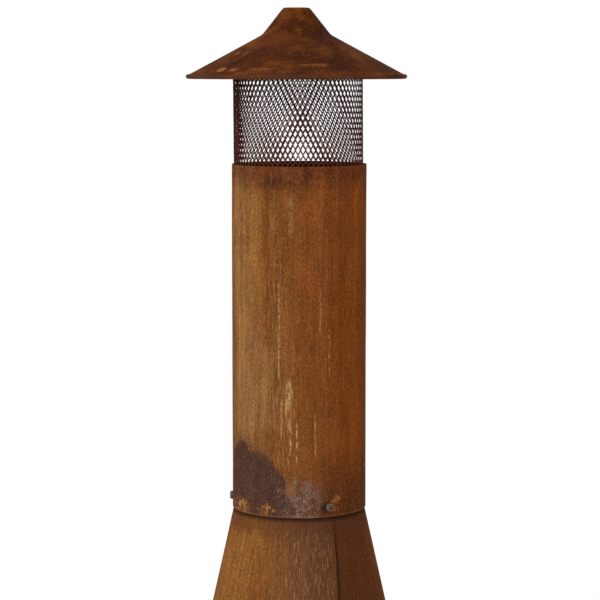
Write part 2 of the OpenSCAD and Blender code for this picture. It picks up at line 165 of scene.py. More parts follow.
# ---- Mesh helpers ----

def mesh_object(name, bm):
    mesh = bpy.data.meshes.new(name)
    bm.to_mesh(mesh)
    bm.free()
    return link_mesh(name, mesh)


def link_mesh(name, mesh):
    obj = bpy.data.objects.new(name, mesh)
    bpy.context.scene.collection.objects.link(obj)
    return obj


def from_lists(name, verts, faces, sharp_deg=35):
    mesh = bpy.data.meshes.new(name)
    mesh.from_pydata([tuple(v) for v in verts], [], [tuple(f) for f in faces])
    mesh.validate()
    mesh.update()
    bm = bmesh.new()
    bm.from_mesh(mesh)
    bmesh.ops.recalc_face_normals(bm, faces=bm.faces)
    bm.to_mesh(mesh)
    bm.free()
    smooth(mesh, sharp_deg)
    return link_mesh(name, mesh)


def smooth(mesh, sharp_deg=35):
    mesh.shade_smooth()
    mesh.set_sharp_from_angle(angle=math.radians(sharp_deg))


def cut_out(obj, cutter, own_crossings=False):
    """Takes the cutter's volume out of the object, and removes the cutter."""
    cut = obj.modifiers.new("cut", "BOOLEAN")
    cut.operation = "DIFFERENCE"
    cut.solver = "EXACT"
    cut.use_self = own_crossings
    cut.object = cutter
    graph = bpy.context.evaluated_depsgraph_get()
    mesh = bpy.data.meshes.new_from_object(obj.evaluated_get(graph))
    obj.modifiers.clear()
    obj.data = mesh
    bpy.data.objects.remove(cutter)


def arc(centre, r, a0, a1, n):
    """Points of an arc in degrees, from a0 to a1."""
    return [
        (centre[0] + r * math.cos(math.radians(a0 + (a1 - a0) * i / n)),
         centre[1] + r * math.sin(math.radians(a0 + (a1 - a0) * i / n)))
        for i in range(n + 1)
    ]


def fine_profile(points, step):
    """Adds points along a closed profile's long sides."""
    out = []
    for (r0, z0), (r1, z1) in zip(points, points[1:] + points[:1]):
        n = max(1, int(math.hypot(r1 - r0, z1 - z0) / step))
        out += [(r0 + (r1 - r0) * i / n, z0 + (z1 - z0) * i / n) for i in range(n)]
    return out


def dent(amount, size, seed):
    """A smooth field of small outward shifts, for hand-worked sheet."""
    def field(r, azimuth, z):
        p = Vector((r * math.sin(azimuth), -r * math.cos(azimuth), z)) / size
        return amount * noise.noise(p + Vector((seed, 2 * seed, 0)))
    return field


def revolve(name, profile, segments, shift, sharp_deg=35, extra=()):
    """Turns a closed profile of (radius, height) round the axis.

    shift moves a point outwards, and extra adds azimuths to the even ones.
    """
    verts = []
    azimuths = sorted([2 * math.pi * i / segments for i in range(segments)] + list(extra))
    segments = len(azimuths)
    for a in azimuths:
        for r, z in profile:
            d = shift(r, a, z) if r > 2 * MM else 0
            verts.append(((r + d) * math.sin(a), -(r + d) * math.cos(a), z))
    n = len(profile)
    faces = []
    for i in range(segments):
        k = (i + 1) % segments
        for j in range(n):
            m = (j + 1) % n
            faces.append((i * n + j, i * n + m, k * n + m, k * n + j))
    obj = from_lists(name, verts, faces, sharp_deg)
    bm = bmesh.new()
    bm.from_mesh(obj.data)
    bmesh.ops.remove_doubles(bm, verts=bm.verts, dist=1e-6)
    bmesh.ops.dissolve_degenerate(bm, edges=bm.edges, dist=1e-7)
    bmesh.ops.recalc_face_normals(bm, faces=bm.faces)
    bm.to_mesh(obj.data)
    bm.free()
    smooth(obj.data, sharp_deg)
    return obj


def tube(name, path, r, sides):
    """A round wire with flat ends along a path of points."""
    verts = []
    faces = []
    side = None
    for i, p in enumerate(path):
        ahead = (path[min(i + 1, len(path) - 1)] - path[max(i - 1, 0)]).normalized()
        if side is None:
            side = ahead.orthogonal().normalized()
        side = (side - ahead * side.dot(ahead)).normalized()
        up = ahead.cross(side)
        for k in range(sides):
            a = 2 * math.pi * k / sides
            verts.append(p + r * (math.cos(a) * side + math.sin(a) * up))
    for i in range(len(path) - 1):
        for k in range(sides):
            m = (k + 1) % sides
            faces.append((i * sides + k, i * sides + m, (i + 1) * sides + m, (i + 1) * sides + k))
    faces.append(tuple(range(sides)))
    faces.append(tuple((len(path) - 1) * sides + k for k in range(sides)))
    return from_lists(name, verts, faces, 60)


def on_cone(azimuth_deg, z):
    """Frame on the cone's surface: -Y points out of it and +Z runs up a straight line of it."""
    return (
        Matrix.Rotation(math.radians(azimuth_deg), 4, "Z")
        @ Matrix.Translation((0, -cone_r(z), z))
        @ Matrix.Rotation(-LEAN, 4, "X")
    )


# ---- Expanded metal ----

def expanded_metal(name, place, i_range, j_range, cell, sheet=0.38 * MM, twist=0.1 * MM,
                   keep=None, seed=1):
    """Joined diamonds of bonds and strands. place maps (u, v, depth) on the flat sheet to a point."""
    w, h = cell
    rough = 0.1 * MM
    bond_x = 0.12 * w
    bond_z = 0.03 * h
    bond_end = 0.158 * h
    rim = [(-bond_x, -bond_z, -1), (-bond_x, bond_z, -1), (0, bond_end, 0),
           (bond_x, bond_z, 1), (bond_x, -bond_z, 1), (0, -bond_end, 0)]
    rng = np.random.RandomState(seed)
    verts = []
    faces = []
    first = {}
    for i in range(*i_range):
        for j in range(*j_range):
            if (i + j) % 2 or (keep and not keep(i * w / 2, j * h / 2)):
                continue
            first[i, j] = len(verts)
            shake = rng.uniform(-rough, rough, (6, 3))
            for face in (1, -1):
                for (du, dv, tilt), s in zip(rim, shake):
                    depth = face * sheet / 2 + tilt * twist
                    verts.append(place(i * w / 2 + du + s[0], j * h / 2 + dv + s[1], depth + s[2]))
    # A bond has its front points at n to n + 5 and its back points at n + 6 to n + 11
    for (i, j), n in first.items():
        faces += [(n, n + 1, n + 4, n + 5), (n + 1, n + 2, n + 3, n + 4)]
        faces += [(n + 11, n + 10, n + 7, n + 6), (n + 10, n + 9, n + 8, n + 7)]
        up_right = first.get((i + 1, j + 1))
        up_left = first.get((i - 1, j + 1))
        down_right = first.get((i + 1, j - 1))
        down_left = first.get((i - 1, j - 1))
        faces += [(n, n + 6, n + 7, n + 1), (n + 3, n + 9, n + 10, n + 4)]
        for m, a, b, c, d in ((up_right, 3, 5, 0, 2), (up_left, 2, 4, 5, 1)):
            if m is None:
                faces.append((n + a, n + d, n + d + 6, n + a + 6))
                continue
            faces += [(n + a, m + b, m + c, n + d), (n + d + 6, m + c + 6, m + b + 6, n + a + 6)]
            faces += [(n + a, n + a + 6, m + b + 6, m + b), (n + d, m + c, m + c + 6, n + d + 6)]
        for other, a, b in ((down_right, 4, 5), (down_left, 5, 0)):
            if other is None:
                faces.append((n + a, n + b, n + b + 6, n + a + 6))
    return from_lists(name, verts, faces, 25)


# ---- Material helpers ----

SPECULAR = 0.05


def srgb(r, g, b):
    """Linear colour of an sRGB triple from 0 to 255."""
    def linear(c):
        c /= 255
        return c / 12.92 if c <= 0.04045 else ((c + 0.055) / 1.055) ** 2.4
    return (linear(r), linear(g), linear(b), 1)


def grey(v):
    return (v, v, v, 1)


class Graph:
    """A material's node tree, with the object's own coordinates at hand."""

    def __init__(self, name):
        self.material = bpy.data.materials.new(name)
        self.material.use_nodes = True
        self.tree = self.material.node_tree
        self.shader = self.tree.nodes["Principled BSDF"]
        self.position = self.node("ShaderNodeTexCoord").outputs["Object"]
        split = self.node("ShaderNodeSeparateXYZ", {0: self.position})
        self.x, self.y, self.z = split.outputs
        self.azimuth = self.math("ARCTAN2", self.x, self.times(self.y, -1.0))
        self.flow = self.position

    def node(self, kind, inputs=None, **settings):
        n = self.tree.nodes.new(kind)
        for key, value in settings.items():
            setattr(n, key, value)
        for key, value in (inputs or {}).items():
            if isinstance(value, bpy.types.NodeSocket):
                self.tree.links.new(value, n.inputs[key])
            else:
                n.inputs[key].default_value = value
        return n

    def math(self, op, a, b=0.0, c=0.0):
        return self.node("ShaderNodeMath", {0: a, 1: b, 2: c}, operation=op).outputs[0]

    def times(self, product, *others):
        for other in others:
            product = self.math("MULTIPLY", product, other)
        return product

    def invert(self, value):
        """1 less the value."""
        return self.math("SUBTRACT", 1.0, value)

    def swing(self, value, amount):
        """A value from 0 to 1 made to swing by half the amount to each side of 0."""
        return self.times(self.math("SUBTRACT", value, 0.5), amount)

    def mix(self, fac, a, b, blend="MIX"):
        inputs = {0: fac, 6: a, 7: b}
        return self.node("ShaderNodeMix", inputs, data_type="RGBA", blend_type=blend).outputs[2]

    def tint(self, colour, tone, *factors):
        """Mixes an sRGB tone into a colour, by the product of the factors."""
        return self.mix(self.times(*factors), colour, srgb(*tone))

    def overlay(self, colour, amount, value, low, dark):
        """Darkens and lightens a colour by a value, evenly about its middle."""
        shades = self.ramp(value, [(low, grey(dark)), (1 - low, grey(1 - dark))])
        return self.mix(amount, colour, shades, "OVERLAY")

    def noise(self, scale, stretch=(1, 1, 1), detail=4.0, rough=0.55, offset=(0, 0, 0), at=None):
        place = self.node("ShaderNodeMapping", {
            "Vector": at or self.position, "Scale": stretch, "Location": offset})
        n = self.node("ShaderNodeTexNoise", {
            "Vector": place.outputs[0], "Scale": scale, "Detail": detail, "Roughness": rough})
        return n.outputs[0]

    def cone_radius(self):
        """The cone's radius at this height."""
        return self.math("MULTIPLY_ADD", self.z, -CONE_SLOPE, NECK_R + FLUE_LOW * CONE_SLOPE)

    def flow_down_cone(self):
        """Makes the flow coordinates keep to the cone's own lines, so that streaks run down it."""
        scale = self.math("DIVIDE", FLOW_R, self.cone_radius())
        place = {0: self.times(self.x, scale), 1: self.times(self.y, scale), 2: self.z}
        self.flow = self.node("ShaderNodeCombineXYZ", place).outputs[0]

    def ramp(self, fac, stops):
        n = self.node("ShaderNodeValToRGB", {0: fac})
        elements = n.color_ramp.elements
        while len(elements) < len(stops):
            elements.new(0.5)
        for element, (at, colour) in zip(elements, stops):
            element.position = at
            element.color = colour
        return n.outputs[0]

    def tones(self, fac, *stops):
        """A ramp of sRGB tones, each with its place."""
        return self.ramp(fac, [(at, srgb(*tone)) for at, tone in stops])

    def turn(self, wander):
        """The azimuth, shifted by wander, as 0 to 1 from the back round to the back."""
        turn = self.math("ADD", self.math("ADD", self.azimuth, wander), math.pi)
        return self.math("DIVIDE", turn, 2 * math.pi)

    def seam(self):
        """Azimuth of the cone's lap seam at this height, as in seam_azimuth."""
        return self.math("ADD", self.math("DIVIDE", SEAM_SKEW, self.cone_radius()), SEAM_BASE)

    def step(self, value, low, high):
        """0 below low and 1 above high, smooth between."""
        inputs = {0: value, 1: low, 2: high}
        return self.node("ShaderNodeMapRange", inputs, interpolation_type="SMOOTHSTEP").outputs[0]

    def window(self, value, centre, half, soft):
        """1 within half of centre, falling to 0 over soft."""
        away = self.math("ABSOLUTE", self.math("SUBTRACT", value, centre))
        return self.invert(self.step(away, half - soft / 2, half + soft / 2))

    def sector(self, centre_deg, half_deg, soft_deg):
        """A window of the azimuth, in degrees."""
        centre, half, soft = (math.radians(a) for a in (centre_deg, half_deg, soft_deg))
        return self.window(self.azimuth, centre, half, soft)

    def patch(self, azimuth_deg, z, half_deg, half_z, ragged=0.35, scale=28, soft=0.25, offset=0.0,
              broken=0.0):
        """A ragged patch round a place on a surface of revolution, broken up into specks by broken."""
        across = self.math("SUBTRACT", self.azimuth, math.radians(azimuth_deg))
        u = self.math("DIVIDE", across, math.radians(half_deg))
        v = self.math("DIVIDE", self.math("SUBTRACT", self.z, z), half_z)
        d = self.math("SQRT", self.math("ADD", self.times(u, u), self.times(v, v)))
        edge = self.noise(scale, offset=(offset, offset, offset), detail=6)
        d = self.math("ADD", d, self.swing(edge, ragged * 4))
        if broken:
            specks = self.noise(650, (1, 1, 0.35), detail=4, rough=0.7, offset=(offset, 1, 5))
            d = self.math("ADD", d, self.swing(specks, broken * 4))
        return self.invert(self.step(d, 1 - soft, 1 + soft))

    def run(self, azimuth_deg, z0, z1, half_deg, seed):
        """A thin broken line that runs down a surface of revolution."""
        half = math.radians(half_deg)
        swayed = self.math("ADD", self.azimuth, self.swing(self.noise(30, offset=(seed, 0, 0)), 0.05))
        line = self.window(swayed, math.radians(azimuth_deg), half, half * 1.4)
        length = self.window(self.z, (z0 + z1) / 2, (z1 - z0) / 2, 0.012)
        gaps = self.noise(700, (1, 1, 0.3), detail=5, rough=0.7, offset=(0, seed, 0))
        return self.times(line, length, self.step(gaps, 0.45, 0.58))

    def ring_noise(self, around, out, detail=5.0, rough=0.65, offset=0.0):
        """Noise stretched round a shallow cone: cells per radian, and cells per metre of radius."""
        radius = self.radius()
        place = self.node("ShaderNodeCombineXYZ", {
            0: self.times(self.math("DIVIDE", self.x, radius), around),
            1: self.math("MULTIPLY_ADD", self.math("DIVIDE", self.y, radius), around, offset),
            2: self.times(radius, out),
        })
        return self.node("ShaderNodeTexNoise", {
            "Vector": place.outputs[0], "Scale": 1.0, "Detail": detail, "Roughness": rough}).outputs[0]

    def radius(self):
        x2 = self.times(self.x, self.x)
        return self.math("SQRT", self.math("MULTIPLY_ADD", self.y, self.y, x2))

    def normal(self):
        return self.node("ShaderNodeSeparateXYZ", {
            0: self.node("ShaderNodeNewGeometry").outputs["Normal"]}).outputs

    def inside(self):
        """1 where the surface faces the axis and 0 where it faces out."""
        nx, ny, _ = self.normal()
        out = self.math("MULTIPLY_ADD", self.x, nx, self.times(self.y, ny))
        return self.invert(self.step(self.math("DIVIDE", out, self.radius()), -0.5, -0.1))

    def soot(self, colour, fac):
        tone = self.noise(60, detail=7, rough=0.68, offset=(6, 6, 6))
        black = self.tones(tone, (0.3, (24, 20, 18)), (0.52, (40, 31, 26)), (0.72, (88, 54, 34)))
        return self.mix(fac, colour, black)

    def finish(self, colour, rough, height, strength, distance=0.6 * MM, metallic=0.0):
        """Closes the material. rough is its least roughness, a tone, and what the tone adds."""
        least, tone, spread = rough
        roughness = self.math("ADD", least, self.times(tone, spread))
        inputs = {"Strength": strength, "Distance": distance, "Height": height}
        bump = self.node("ShaderNodeBump", inputs)
        self.tree.links.new(colour, self.shader.inputs["Base Color"])
        self.tree.links.new(roughness, self.shader.inputs["Roughness"])
        self.tree.links.new(bump.outputs[0], self.shader.inputs["Normal"])
        self.shader.inputs["Metallic"].default_value = metallic
        self.shader.inputs["Specular IOR Level"].default_value = SPECULAR
        return self.material


def rust_grain(g, colour, streak=0.25, speck=0.3, offset=0.0):
    """Short vertical grain, mottling, and dark and pale specks over a base colour."""
    runs = g.noise(110, (1, 1, 0.035), detail=5, rough=0.6, offset=(offset, 0, 0), at=g.flow)
    colour = g.overlay(colour, streak, runs, 0.35, 0.28)
    lines = g.noise(800, (1, 1, 0.04), detail=3, rough=0.6, offset=(2, offset, 6), at=g.flow)
    colour = g.overlay(colour, streak * 0.9, lines, 0.36, 0.2)
    grain = g.noise(1150, (1, 1, 0.32), detail=3, rough=0.6, offset=(0, offset, 1))
    colour = g.overlay(colour, streak * 1.5, grain, 0.36, 0.14)
    mottle = g.noise(60, (1, 1, 0.5), detail=8, rough=0.68, offset=(0, offset, 3))
    colour = g.overlay(colour, 0.24, mottle, 0.32, 0.2)
    fine = g.noise(950, (1, 1, 0.5), detail=2, rough=0.6)
    colour = g.tint(colour, (58, 30, 13), g.step(fine, 0.53, 0.68), speck)
    pale = g.noise(850, (1, 1, 0.4), detail=3, rough=0.65, offset=(7, 3, 1))
    colour = g.tint(colour, (188, 132, 72), g.step(pale, 0.56, 0.7), speck)
    height = g.math("ADD", g.times(grain, 0.6), g.times(fine, 0.4))
    return colour, height, mottle


def azimuth_stops(pairs):
    """Ramp stops from (azimuth in degrees, colour) pairs over -180 to 180."""
    return [((a + 180) / 360, c) for a, c in pairs]


def flue_material():
    g = Graph("rusty_flue")
    # Tones round the flue. The darker stops near -62 and 114 degrees are painted shade at the flue's two
    # edges as the camera sees them.
    wander = g.swing(g.noise(26, (1, 1, 0.25), detail=6), 0.8)
    colour = g.tones(g.turn(wander), *azimuth_stops([
        (-180, (126, 70, 28)), (-110, (132, 80, 37)), (-62, (112, 72, 40)), (-50, (118, 76, 41)),
        (-42, (133, 86, 45)), (-28, (152, 104, 58)), (-14, (141, 90, 45)), (-2, (125, 72, 30)),
        (10, (123, 66, 27)), (24, (133, 79, 35)), (36, (131, 73, 32)), (52, (134, 73, 31)),
        (64, (128, 66, 24)), (74, (128, 64, 21)), (82, (136, 71, 20)), (92, (126, 62, 14)),
        (102, (118, 58, 10)), (114, (104, 56, 24)), (140, (124, 66, 24)), (180, (126, 70, 28)),
    ]))

    # Mauve clouds, and an ochre bloom down the left
    cloud = g.step(g.noise(52, (1, 1, 0.6), detail=6, rough=0.6, offset=(8, 2, 5)), 0.53, 0.68)
    colour = g.tint(colour, (104, 62, 42), cloud, 0.4)
    bloom = g.noise(70, (1, 1, 0.16), detail=6, rough=0.6, offset=(2, 5, 0))
    colour = g.tint(colour, (166, 120, 58), g.step(bloom, 0.46, 0.66), g.sector(-21, 32, 30), 0.45)

    pale = g.patch(-14, FLUE_LOW + 0.125, 22, 0.075, ragged=0.5, scale=40, soft=0.9)
    colour = g.tint(colour, (160, 124, 84), pale, 0.3)

    # Darker, reddish and blotched towards the top edge
    mottle = g.noise(60, (1, 1, 0.8), detail=8, rough=0.68, offset=(0, 0, 3))
    uneven = g.math("MULTIPLY_ADD", mottle, 0.06, -0.03)
    top = g.step(g.math("ADD", g.z, uneven), FLUE_TOP - 0.034, FLUE_TOP - 0.008)
    colour = g.tint(colour, (97, 47, 26), top, 0.62)
    blots = g.step(g.noise(75, (1, 1, 1.3), detail=7, rough=0.7, offset=(1, 7, 2)), 0.5, 0.62)
    band = g.window(g.math("ADD", g.z, uneven), FLUE_TOP - 0.014, 0.012, 0.014)
    colour = g.tint(colour, (66, 36, 26), blots, band, 0.6)
    smudge = g.patch(12, FLUE_TOP - 0.02, 14, 0.008, ragged=0.5, scale=70, soft=0.9, broken=0.3)
    colour = g.tint(colour, (54, 28, 25), smudge, 0.28)

    # Dark purple-brown scorch at the lower left, with a feathered edge
    line = g.ramp(g.turn(0.0), azimuth_stops([
        (-180, grey(0.0)), (-70, grey(0.05)), (-56, grey(0.5)), (-44, grey(0.74)), (-30, grey(0.82)),
        (-10, grey(0.78)), (2, grey(0.66)), (13, grey(0.56)), (20, grey(0.44)), (30, grey(0.26)),
        (56, grey(0.2)), (64, grey(0.0)), (180, grey(0.0)),
    ]))
    wave = g.math("SUBTRACT", g.noise(60, detail=8, rough=0.65, offset=(4, 0, 0)), 0.5)
    feather = g.math("SUBTRACT", g.noise(520, (1, 1, 0.14), detail=3, rough=0.6, offset=(2, 2, 2)), 0.5)
    line = g.math("MULTIPLY_ADD", line, 0.1, g.times(wave, 0.045))
    line = g.math("MULTIPLY_ADD", feather, 0.03, line)
    depth = g.math("SUBTRACT", line, g.math("SUBTRACT", g.z, FLUE_LOW))
    scorch = g.step(depth, -0.002, 0.006)
    tone = g.noise(90, detail=8, rough=0.7, offset=(0, 6, 0))
    purple = g.tones(tone, (0.3, (50, 28, 22)), (0.5, (75, 45, 34)), (0.7, (104, 70, 52)))
    burnt = g.times(scorch, g.sector(-12, 38, 20))
    halo = g.step(depth, -0.02, 0.0)
    colour = g.tint(colour, (108, 62, 36), halo, 0.4, g.invert(g.step(g.azimuth, 0.4, 1.0)))
    colour = g.mix(g.times(burnt, 0.94), colour, purple)
    # Painted shade: the right side of the flue is darkened towards its lower edge.
    low = g.invert(g.step(g.math("MULTIPLY_ADD", wave, 0.05, g.z), FLUE_LOW + 0.02, FLUE_LOW + 0.085))
    right = g.sector(92, 46, 36)
    colour = g.tint(colour, (80, 42, 19), low, right, 0.75)

    # Grey bloom right of the scorch
    grey_part = g.patch(31.5, FLUE_LOW + 0.016, 16.5, 0.024, ragged=0.4, scale=60, soft=0.6,
                        offset=2.0, broken=0.5)
    colour = g.tint(colour, (84, 54, 40), grey_part, 0.75)

    colour, height, mottle = rust_grain(g, colour, streak=0.34, speck=0.42)
    frost = g.step(g.noise(950, (1, 1, 0.6), detail=4, rough=0.7, offset=(3, 0, 7)), 0.42, 0.66)
    drift = g.step(g.noise(110, detail=6, rough=0.7, offset=(5, 3, 7)), 0.36, 0.58)
    colour = g.tint(colour, (66, 38, 32), burnt, 0.4)
    frost_grey = g.times(frost, grey_part, drift)
    frost_scorch = g.times(frost, burnt, 0.12)
    colour = g.tint(colour, (172, 146, 132), g.math("MAXIMUM", frost_grey, frost_scorch))

    # Cream scratches and drips at the middle, and thin runs right of them
    thin = g.noise(560, (1, 1, 0.09), detail=5, rough=0.7, offset=(1, 1, 4))
    drips = g.patch(18, FLUE_LOW + 0.115, 12, 0.065, ragged=0.5, scale=40, soft=0.6, broken=0.35)
    high_drips = g.patch(4, FLUE_LOW + 0.25, 14, 0.11, ragged=0.6, scale=40, soft=0.6)
    wet = g.math("MAXIMUM", drips, g.times(high_drips, 0.5))
    colour = g.tint(colour, (196, 160, 104), g.step(thin, 0.53, 0.68), wet, 0.7)
    runs = None
    for azimuth, z0, z1, half, strength in (
        (13, 0.155, 0.26, 0.9, 0.6), (15, 0.09, 0.13, 0.7, 0.8), (21, 0.122, 0.152, 1.9, 0.95),
        (22.5, 0.07, 0.125, 0.7, 0.7), (28, 0.06, 0.105, 0.6, 0.9), (43.5, 0.065, 0.118, 0.6, 0.6),
        (56, 0.158, 0.206, 0.6, 0.6), (48, 0.205, 0.25, 0.6, 0.45), (23, 0.312, 0.352, 2.2, 0.28),
    ):
        mark = g.times(g.run(azimuth, FLUE_LOW + z0, FLUE_LOW + z1, half, azimuth), strength)
        runs = mark if runs is None else g.math("MAXIMUM", runs, mark)
    colour = g.tint(colour, (208, 172, 116), runs)

    # Bright orange flakes along the lower edge, rust at the right screw, and a painted shadow beside that
    # screw
    flake = g.step(g.noise(210, (1, 1, 0.8), detail=6, rough=0.75, offset=(9, 9, 0)), 0.44, 0.56)
    for azimuth, rise, half, half_z in ((-31, 0.008, 13, 0.0075), (1, 0.008, 7.5, 0.0055)):
        clump = g.patch(azimuth, FLUE_LOW + rise, half, half_z, ragged=0.3, scale=120, soft=0.5, broken=0.3)
        colour = g.tint(colour, (184, 122, 62), clump, flake, 0.92)
    spot = g.patch(22.5, FLUE_LOW + 0.031, 3.6, 0.006, ragged=0.3, scale=160, soft=0.8, broken=0.3)
    colour = g.tint(colour, (156, 98, 50), spot, 0.7)
    fleck = g.step(g.noise(620, detail=5, rough=0.75, offset=(4, 2, 8)), 0.45, 0.55)
    for azimuth, rise, half, half_z in (
        (61.5, 0.017, 3.0, 0.0026), (64.5, 0.0205, 2.4, 0.0034), (61.5, 0.0085, 2.4, 0.0024),
    ):
        screw_rust = g.patch(azimuth, FLUE_LOW + rise, half, half_z, ragged=0.5, scale=260, soft=0.6,
                             broken=0.4)
        colour = g.tint(colour, (178, 118, 66), screw_rust, fleck, 0.8)
    # Painted shadow: a dark patch just left of the right screw's head.
    screw_shadow = g.patch(52.5, FLUE_LOW + 0.01, 4.6, 0.006, ragged=0.2, scale=200, soft=0.8)
    colour = g.tint(colour, (40, 22, 14), screw_shadow, 0.8)

    # Painted highlight: a light line along the flue's lower edge, stronger towards the left, where the rim
    # would catch the light.
    lip_highlight = g.invert(g.step(g.z, FLUE_LOW + 0.0012, FLUE_LOW + 0.003))
    lip_highlight = g.times(lip_highlight, g.math("MULTIPLY_ADD", g.step(g.azimuth, -0.3, 0.9), -0.3, 0.55))
    colour = g.tint(colour, (146, 94, 52), lip_highlight, g.step(mottle, 0.3, 0.55))
    # Painted shadow: a dark line on the lower sheet just past the flue's lap step at the seam.
    lap_shadow = g.window(g.azimuth, FLUE_SEAM + 0.008, 0.006, 0.012)
    colour = g.tint(colour, (44, 24, 15), lap_shadow, 0.7)
    colour = g.soot(colour, g.inside())
    return g.finish(colour, (0.72, mottle, 0.3), height, 0.4)


def cone_material():
    g = Graph("rusty_cone")
    g.flow_down_cone()
    wander = g.swing(g.noise(14, (1, 1, 0.22), detail=6), 1.4)
    colour = g.tones(g.turn(wander), *azimuth_stops([
        (-180, (122, 70, 33)), (-100, (134, 82, 37)), (-60, (128, 76, 36)), (-40, (140, 86, 38)),
        (-10, (144, 91, 40)), (2, (128, 76, 35)), (18, (126, 74, 35)), (32, (118, 72, 37)),
        (45, (104, 61, 34)), (60, (98, 52, 26)), (100, (102, 53, 23)), (140, (110, 60, 26)),
        (180, (122, 70, 33)),
    ]))
    # Darker clouds, water stains and fresher orange rust, all below the plainer upper part
    lower = g.invert(g.step(g.z, FLUE_LOW - 0.25, FLUE_LOW - 0.12))
    cloud = g.step(g.noise(12, (1, 1, 0.6), detail=8, rough=0.68, offset=(7, 7, 1)), 0.5, 0.64)
    colour = g.tint(colour, (90, 47, 23), cloud, lower, 0.5)
    stain = g.step(g.noise(46, (1, 1, 0.05), detail=6, rough=0.6, offset=(4, 9, 6), at=g.flow), 0.5, 0.66)
    colour = g.tint(colour, (98, 52, 25), stain, lower, 0.4)
    fresh = g.step(g.noise(30, (1, 1, 0.8), detail=8, rough=0.72, offset=(2, 1, 8)), 0.55, 0.66)
    colour = g.tint(colour, (170, 98, 38), fresh, lower, 0.5)
    for azimuth, z in ((-48, HINGE_Z[0]), (-48, HINGE_Z[1]), (46.5, LATCH_Z)):
        bleed = g.patch(azimuth, z - 0.045, 3.2, 0.05, ragged=0.4, scale=60, soft=0.9, broken=0.2)
        colour = g.tint(colour, (84, 40, 20), bleed, 0.6)
    colour, height, mottle = rust_grain(g, colour, streak=0.38, speck=0.5, offset=3.0)
    drip = g.noise(560, (1, 1, 0.14), detail=5, rough=0.7, offset=(3, 3, 3), at=g.flow)
    centre = g.sector(34, 22, 26)
    colour = g.tint(colour, (104, 70, 48), centre, 0.35)
    colour = g.tint(colour, (172, 138, 98), g.step(drip, 0.53, 0.66), centre, 0.75)
    ochre = g.noise(480, (1, 1, 0.1), detail=5, rough=0.7, offset=(8, 1, 2), at=g.flow)
    left = g.sector(-50, 50, 40)
    fleck = g.step(g.noise(900, (1, 1, 0.3), detail=4, rough=0.7, offset=(6, 4, 2)), 0.4, 0.58)
    ochre = g.times(g.step(ochre, 0.48, 0.64), left, g.times(fleck, 0.85))
    colour = g.tint(colour, (186, 136, 66), ochre)

    # The sheet right of the lap seam is darker, with a painted shadow along the lap's edge
    away = g.math("SUBTRACT", g.azimuth, g.seam())
    right = g.times(g.step(away, -0.004, 0.004), g.invert(g.step(away, 0.3, 1.0)))
    colour = g.tint(colour, (84, 44, 21), right, 0.5)
    # Painted shadow: a dark strip on the lower sheet just right of the lap's edge.
    lap_shadow = g.times(g.step(away, -0.008, 0.004), g.invert(g.step(away, 0.02, 0.07)))
    colour = g.tint(colour, (48, 26, 18), lap_shadow, 0.6)
    collar = g.math("ADD", g.z, g.swing(mottle, 0.09))
    collar = g.step(collar, FLUE_LOW - 0.034, FLUE_LOW - 0.008)
    colour = g.tint(colour, (88, 48, 32), collar, 0.6)

    # Painted shadow line under the flue, smoke stain over the mouth and splashes near the ground
    # Painted shadow: a dark band on the cone just below the flue's lower edge.
    under = g.step(g.z, FLUE_LOW - 0.007, FLUE_LOW - 0.001)
    colour = g.tint(colour, (34, 18, 12), under, 0.8)
    front = g.sector(0, 32, 30)
    ragged_z = g.math("SUBTRACT", g.z, g.times(mottle, 0.16))
    below = g.invert(g.step(ragged_z, MOUTH_Z[1] - 0.06, MOUTH_Z[1] + 0.05))
    smoke_high = g.times(g.step(g.z, MOUTH_Z[1] - 0.02, MOUTH_Z[1]), below)
    colour = g.tint(colour, (40, 30, 26), smoke_high, front, 0.6)
    ragged_z = g.math("SUBTRACT", g.z, g.times(mottle, 0.09))
    splash = g.invert(g.step(ragged_z, SKIRT_Z - 0.01, SKIRT_Z + 0.07))
    colour = g.tint(colour, (84, 52, 32), splash, 0.55)
    colour = g.soot(colour, g.inside())
    return g.finish(colour, (0.72, mottle, 0.3), height, 0.4)


